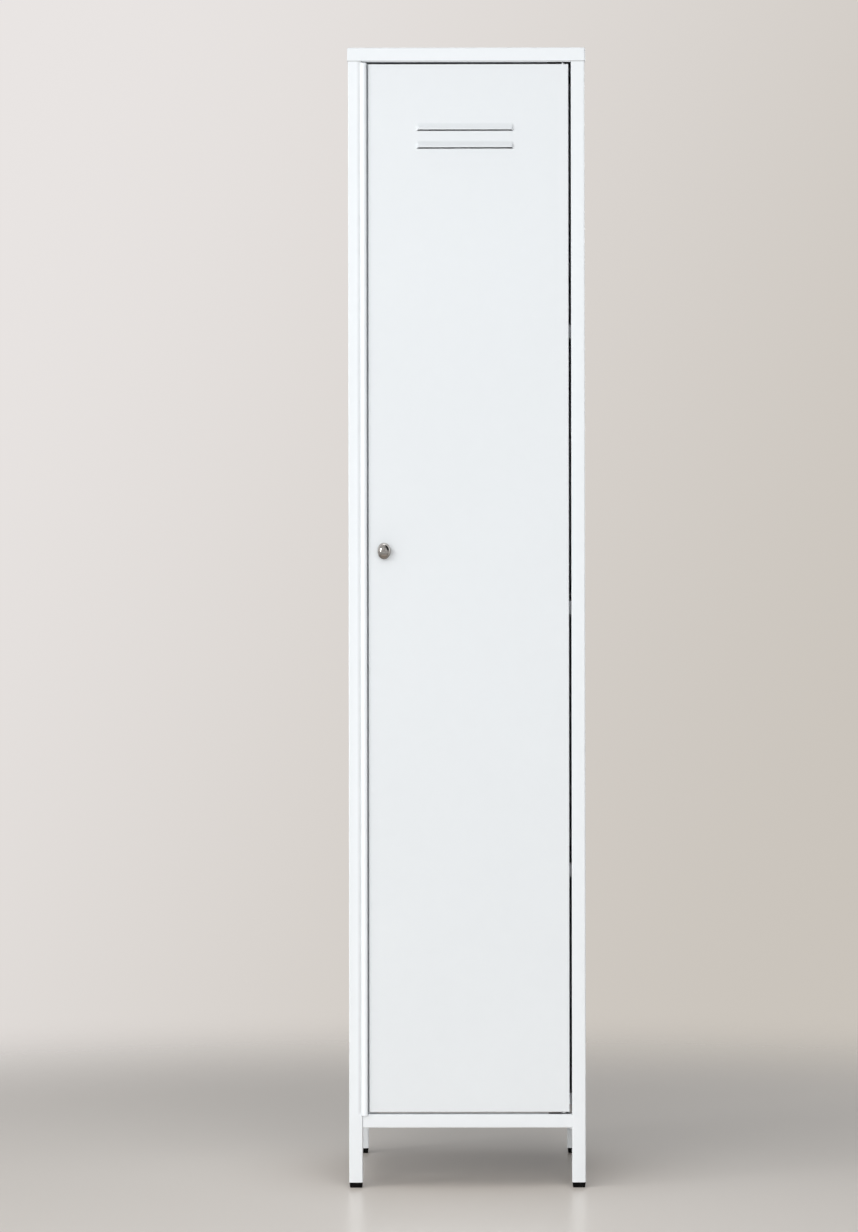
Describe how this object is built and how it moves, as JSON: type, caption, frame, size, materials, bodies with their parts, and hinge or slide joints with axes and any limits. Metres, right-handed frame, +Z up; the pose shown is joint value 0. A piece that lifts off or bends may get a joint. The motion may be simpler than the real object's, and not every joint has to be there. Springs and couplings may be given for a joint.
{
  "type": "metal locker",
  "caption": "Tall narrow steel locker on square-tube legs, with shelves behind a louvred door that hangs on pivot pins and has an oval turn knob with a cam latch.",
  "frame": {"origin": "on the floor, under the centre of the outline with the door shut, the knob's reach counted in the depth", "axes": "+Z up, -Y towards the front of the door, +X towards the hinge side"},
  "size_m": [0.3822, 0.476, 1.8305],
  "materials": {
    "white_powder_coat": "satin white powder coat on sheet and tube steel",
    "zinc_plated_steel": "zinc plated",
    "polished_nickel": "polished nickel plate",
    "black_plastic": "moulded, fine matte grain",
    "grey_rubber": "soft, matte"
  },
  "bodies": {
    "cabinet": {"post_front_left": "white_powder_coat", "post_front_right": "white_powder_coat", "post_rear_left": "white_powder_coat", "post_rear_right": "white_powder_coat", "bottom_rail_front": "white_powder_coat", "bottom_rail_rear": "white_powder_coat", "bottom_rail_left": "white_powder_coat", "bottom_rail_right": "white_powder_coat", "top_rail_front": "white_powder_coat", "top_rail_rear": "white_powder_coat", "top_rail_left": "white_powder_coat", "top_rail_right": "white_powder_coat", "top_cap": "white_powder_coat", "side_panel_left": "white_powder_coat", "side_panel_right": "white_powder_coat", "back_panel": "white_powder_coat", "floor_pan": "white_powder_coat", "shelf_lower": "white_powder_coat", "shelf_middle": "white_powder_coat", "shelf_upper": "white_powder_coat", "shelf_runner_lower_left": "white_powder_coat", "shelf_runner_lower_right": "white_powder_coat", "shelf_runner_middle_left": "white_powder_coat", "shelf_runner_middle_right": "white_powder_coat", "shelf_runner_upper_left": "white_powder_coat", "shelf_runner_upper_right": "white_powder_coat", "latch_strip": "white_powder_coat", "foot_front_left": "black_plastic", "foot_front_right": "black_plastic", "foot_rear_left": "black_plastic", "foot_rear_right": "black_plastic", "hinge_bush_top": "black_plastic", "hinge_bush_bottom": "black_plastic", "hinge_washer": "zinc_plated_steel", "door_buffer_lower": "grey_rubber", "door_buffer_upper": "grey_rubber"},
    "door": {"door_panel": "white_powder_coat", "door_stiffener": "white_powder_coat", "hinge_plate_top": "white_powder_coat", "hinge_plate_bottom": "white_powder_coat", "hinge_pin_top": "zinc_plated_steel", "hinge_pin_bottom": "zinc_plated_steel", "latch_housing": "polished_nickel", "latch_nut": "zinc_plated_steel"},
    "knob": {"knob": "polished_nickel", "knob_spindle": "zinc_plated_steel", "latch_cam": "zinc_plated_steel", "cam_nut": "zinc_plated_steel"}
  },
  "joints": [
    {"name": "door_hinge", "type": "hinge", "parent": "cabinet", "child": "door", "pos_m": [0.155, -0.20405, 0.9627], "axis": [0, 0, 1], "range_deg": [0, 110]},
    {"name": "knob_turn", "type": "hinge", "parent": "door", "child": "knob", "pos_m": [-0.1325, -0.21205, 1.0224], "axis": [0, 1, 0], "range_deg": [0, 90]}
  ]
}
